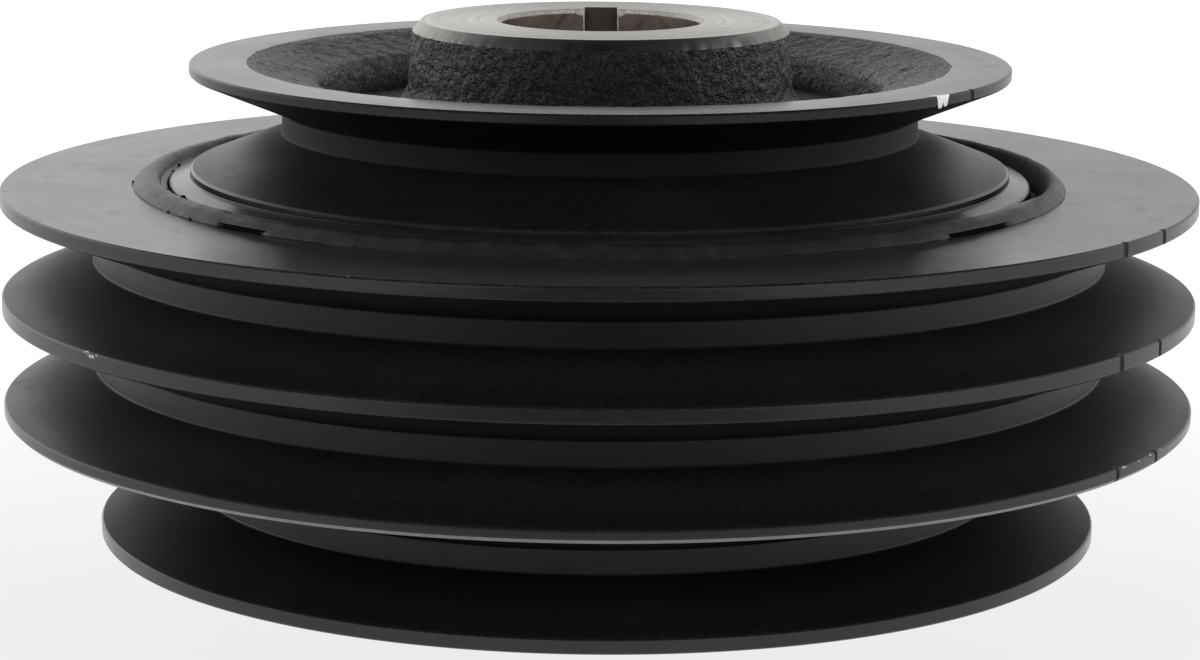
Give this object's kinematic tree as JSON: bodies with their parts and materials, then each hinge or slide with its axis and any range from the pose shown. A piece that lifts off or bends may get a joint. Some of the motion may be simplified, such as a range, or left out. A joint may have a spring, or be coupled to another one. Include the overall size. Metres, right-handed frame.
{
  "type": "crankshaft damper pulley",
  "caption": "Crankshaft pulley with a keyed hub that has its own V-belt groove, inside a rubber-isolated outer ring with stepped V-belt grooves.",
  "frame": {"origin": "on the shaft axis, at the rear face of the outer ring, which the pulley stands on", "axes": "+Z along the shaft axis towards the front of the engine, +Y through the keyway"},
  "size_m": [0.215, 0.215, 0.0922],
  "materials": {
    "hub_iron": "black conversion coat on machined and as-cast iron, bare turned metal on the boss face and in the bore",
    "ring_iron": "black conversion coat on fine-turned iron, satin matte",
    "isolator_rubber": "moulded, semi-matte, lightly dusty",
    "white_paint": "brushed-on marking paint"
  },
  "bodies": {
    "hub": {"pulley_hub": "hub_iron", "rubber_isolator": "isolator_rubber", "timing_paint": "white_paint"},
    "ring": {"damper_ring": "ring_iron"}
  },
  "joints": [
    {"name": "ring_twist", "type": "hinge", "parent": "hub", "child": "ring", "pos_m": [0, 0, 0.0445], "axis": [0, 0, 1], "range_deg": [-1.5, 1.5], "stiffness_Nm_per_rad": 1500}
  ]
}
